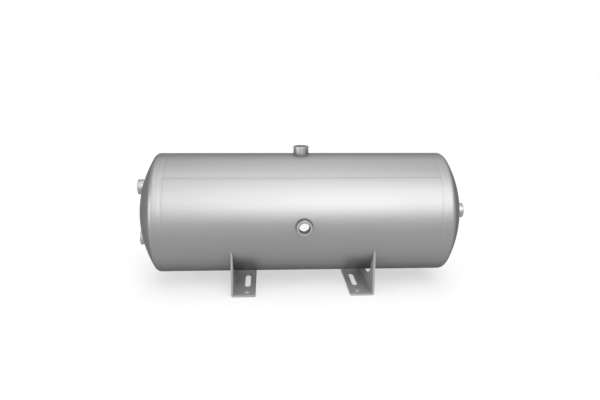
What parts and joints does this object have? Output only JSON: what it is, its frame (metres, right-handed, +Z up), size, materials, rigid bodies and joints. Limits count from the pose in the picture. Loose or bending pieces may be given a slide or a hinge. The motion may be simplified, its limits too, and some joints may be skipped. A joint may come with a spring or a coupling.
{
  "type": "air receiver tank",
  "caption": "Horizontal welded air receiver: round shell, dished ends, threaded port bosses on top, front and ends, and bent-plate feet with slotted bolt holes.",
  "frame": {"origin": "centre of the bounding box, at the undersides of the feet", "axes": "+X along the tank towards the end with one port, +Z up through the top port, -Y towards the side with the front port"},
  "size_m": [0.683, 0.2616, 0.2861],
  "materials": {
    "vessel": "satin metallic grey coat over rolled and pressed sheet steel",
    "weld": "satin metallic grey coat over a rippled weld bead",
    "boss": "turned steel, satin, with a bare machined thread",
    "bracket": "satin grey coat over bent plate, a little darker than the vessel"
  },
  "bodies": {
    "root": {"front_boss": "boss", "front_boss_weld": "weld", "left_back_bracket_weld": "weld", "left_bracket": "bracket", "left_end": "vessel", "left_front_bracket_weld": "weld", "left_girth_weld": "weld", "left_lower_boss": "boss", "left_lower_boss_weld": "weld", "left_upper_boss": "boss", "left_upper_boss_weld": "weld", "long_weld": "weld", "right_back_bracket_weld": "weld", "right_boss": "boss", "right_boss_weld": "weld", "right_bracket": "bracket", "right_end": "vessel", "right_front_bracket_weld": "weld", "right_girth_weld": "weld", "shell": "vessel", "top_boss": "boss", "top_boss_weld": "weld"}
  },
  "joints": []
}
